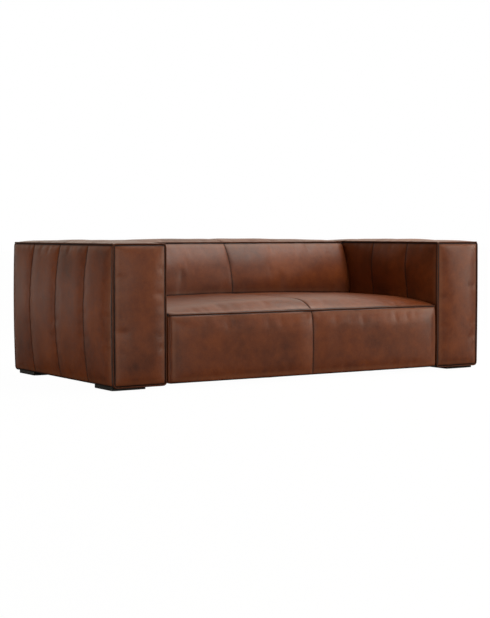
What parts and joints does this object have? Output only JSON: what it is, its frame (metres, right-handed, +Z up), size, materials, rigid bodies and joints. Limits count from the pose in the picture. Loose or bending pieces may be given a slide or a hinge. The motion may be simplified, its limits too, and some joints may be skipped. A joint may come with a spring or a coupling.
{
  "type": "upholstered sofa",
  "caption": "Low box-shaped leather sofa with thick arms level with the back, a tight seat, a rolled padded back, piped edges and black square wooden block feet.",
  "frame": {"origin": "on the floor, under the middle of the sofa's bounding box", "axes": "+X to the right as seen from the front, across the sofa's width; +Y towards the back; +Z up"},
  "size_m": [2.135, 1.0903, 0.66],
  "materials": {
    "leather": "semi-aniline, satin, two-tone",
    "foot_wood": "black stained, satin",
    "felt": "pressed felt",
    "steel": "zinc plated",
    "spring_steel": "black enamelled wire",
    "beech": "planed, unfinished",
    "plywood": "unfinished",
    "hardboard": "unfinished",
    "foam": "polyurethane foam",
    "webbing": "elastic strap",
    "cambric": "thin non-woven cloth"
  },
  "bodies": {
    "root": {"arm_frame_screws": "steel", "arm_joining_battens": "beech", "back_bolster_foam": "foam", "back_bottom_board": "plywood", "back_centre_rib": "plywood", "back_cover": "leather", "back_end_boards": "plywood", "back_frame_dowels": "beech", "back_joining_rail": "beech", "back_lower_rail": "beech", "back_piping": "leather", "back_rear_foam": "foam", "back_rear_panel": "hardboard", "back_top_board": "plywood", "back_top_foam": "foam", "back_upper_rail": "beech", "back_webbing_straps": "webbing", "dust_covers": "cambric", "felt_glides": "felt", "foot_front_left": "foot_wood", "foot_front_right": "foot_wood", "foot_rear_left": "foot_wood", "foot_rear_right": "foot_wood", "foot_screws": "steel", "joining_bolts": "steel", "joining_tee_nuts": "steel", "joining_washers": "steel", "left_arm_base_plate": "plywood", "left_arm_cover": "leather", "left_arm_foam": "foam", "left_arm_inner_panel": "plywood", "left_arm_middle_rib": "plywood", "left_arm_outer_panel": "plywood", "left_arm_piping": "leather", "left_arm_posts": "beech", "left_arm_top_board": "plywood", "right_arm_base_plate": "plywood", "right_arm_cover": "leather", "right_arm_foam": "foam", "right_arm_inner_panel": "plywood", "right_arm_middle_rib": "plywood", "right_arm_outer_panel": "plywood", "right_arm_piping": "leather", "right_arm_posts": "beech", "right_arm_top_board": "plywood", "seat_centre_rail": "beech", "seat_core_foam": "foam", "seat_corner_blocks": "beech", "seat_cover": "leather", "seat_frame_dowels": "beech", "seat_front_foam": "foam", "seat_front_rail": "beech", "seat_left_rail": "beech", "seat_piping": "leather", "seat_rear_rail": "beech", "seat_right_rail": "beech", "seat_topper_foam": "foam", "spring_clips": "steel", "spring_insulator_felt": "felt", "zigzag_springs": "spring_steel"}
  },
  "joints": []
}
